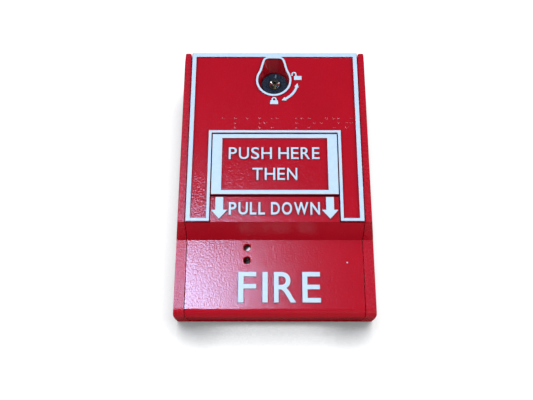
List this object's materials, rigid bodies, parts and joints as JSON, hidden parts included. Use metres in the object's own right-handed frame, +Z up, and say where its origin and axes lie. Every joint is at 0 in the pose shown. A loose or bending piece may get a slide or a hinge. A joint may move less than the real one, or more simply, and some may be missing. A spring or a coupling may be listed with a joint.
{
  "type": "manual call point",
  "caption": "Wall-mounted alarm call point: a push plate over a pull-down handle, in a key-locked hinged front between side rails.",
  "frame": {"origin": "centre of the back face, on the wall plane", "axes": "+Z up the wall, -Y out of the wall through the front, +X to the right seen from the front"},
  "size_m": [0.0966, 0.032, 0.1302],
  "materials": {
    "red_plastic": "satin, fine grain",
    "black_plastic": "matte",
    "grey_sleeve": "satin",
    "board": "lacquered",
    "terminal_plastic": "satin",
    "clear_lens": "clear, polished",
    "green_lens": "tinted, polished",
    "steel": "zinc plated",
    "chrome_plating": "polished",
    "dark_zinc": "satin",
    "brass": "bright"
  },
  "bodies": {
    "housing": {"housing": "red_plastic", "circuit_board": "board", "board_screw_1": "steel", "board_screw_2": "steel", "board_screw_3": "steel", "board_screw_4": "steel", "controller_chip": "black_plastic", "capacitor": "grey_sleeve", "terminal_block": "terminal_plastic", "terminal_screw_1": "brass", "terminal_screw_2": "brass", "terminal_screw_3": "brass", "terminal_screw_4": "brass", "microswitch_case": "black_plastic", "led_upper": "clear_lens", "led_lower": "green_lens", "led_spacer_upper": "black_plastic", "led_spacer_lower": "black_plastic", "hinge_pin_left": "steel", "hinge_pin_right": "steel", "lock_keeper": "steel", "keeper_screw_1": "steel", "keeper_screw_2": "steel"},
    "cover": {"front_cover": "red_plastic", "plate_pivot_pin": "steel", "lock_barrel": "dark_zinc", "lock_nut": "steel"},
    "handle": {"pull_handle": "red_plastic", "handle_spring_left": "steel", "handle_spring_right": "steel"},
    "push_plate": {"push_plate": "red_plastic", "plate_spring": "steel"},
    "lock_plug": {"lock_plug": "chrome_plating", "lock_cam": "steel", "cam_screw": "steel"},
    "switch_leaf": {"switch_leaf": "steel"},
    "switch_button": {"switch_button": "red_plastic"}
  },
  "joints": [
    {"name": "cover_hinge", "type": "hinge", "parent": "housing", "child": "cover", "pos_m": [0, -0.009, -0.0595], "axis": [1, 0, 0], "range_deg": [0, 90]},
    {"name": "handle_hinge", "type": "hinge", "parent": "cover", "child": "handle", "pos_m": [0, -0.009, -0.0595], "axis": [1, 0, 0], "range_deg": [0, 18]},
    {"name": "push_plate_hinge", "type": "hinge", "parent": "cover", "child": "push_plate", "pos_m": [0, -0.0276, 0.0186], "axis": [1, 0, 0], "range_deg": [0, 20], "stiffness_Nm_per_rad": 0.15, "springref_deg": -17.19},
    {"name": "lock_turn", "type": "hinge", "parent": "cover", "child": "lock_plug", "pos_m": [0, -0.0278, 0.0499], "axis": [0, -1, 0], "range_deg": [0, 90]},
    {"name": "switch_leaf_hinge", "type": "hinge", "parent": "housing", "child": "switch_leaf", "pos_m": [0.013, -0.0167, -0.031], "axis": [0, 0, -1], "range_deg": [0, 10]},
    {"name": "switch_button_slide", "type": "slide", "parent": "housing", "child": "switch_button", "axis": [0, -1, 0], "range_m": [0, 0.0006]}
  ],
  "couplings": [
    {"joint": "switch_leaf_hinge", "follows": "handle_hinge", "ratio": 0.5555},
    {"joint": "switch_button_slide", "follows": "handle_hinge", "m_per_rad": 0.0019}
  ]
}
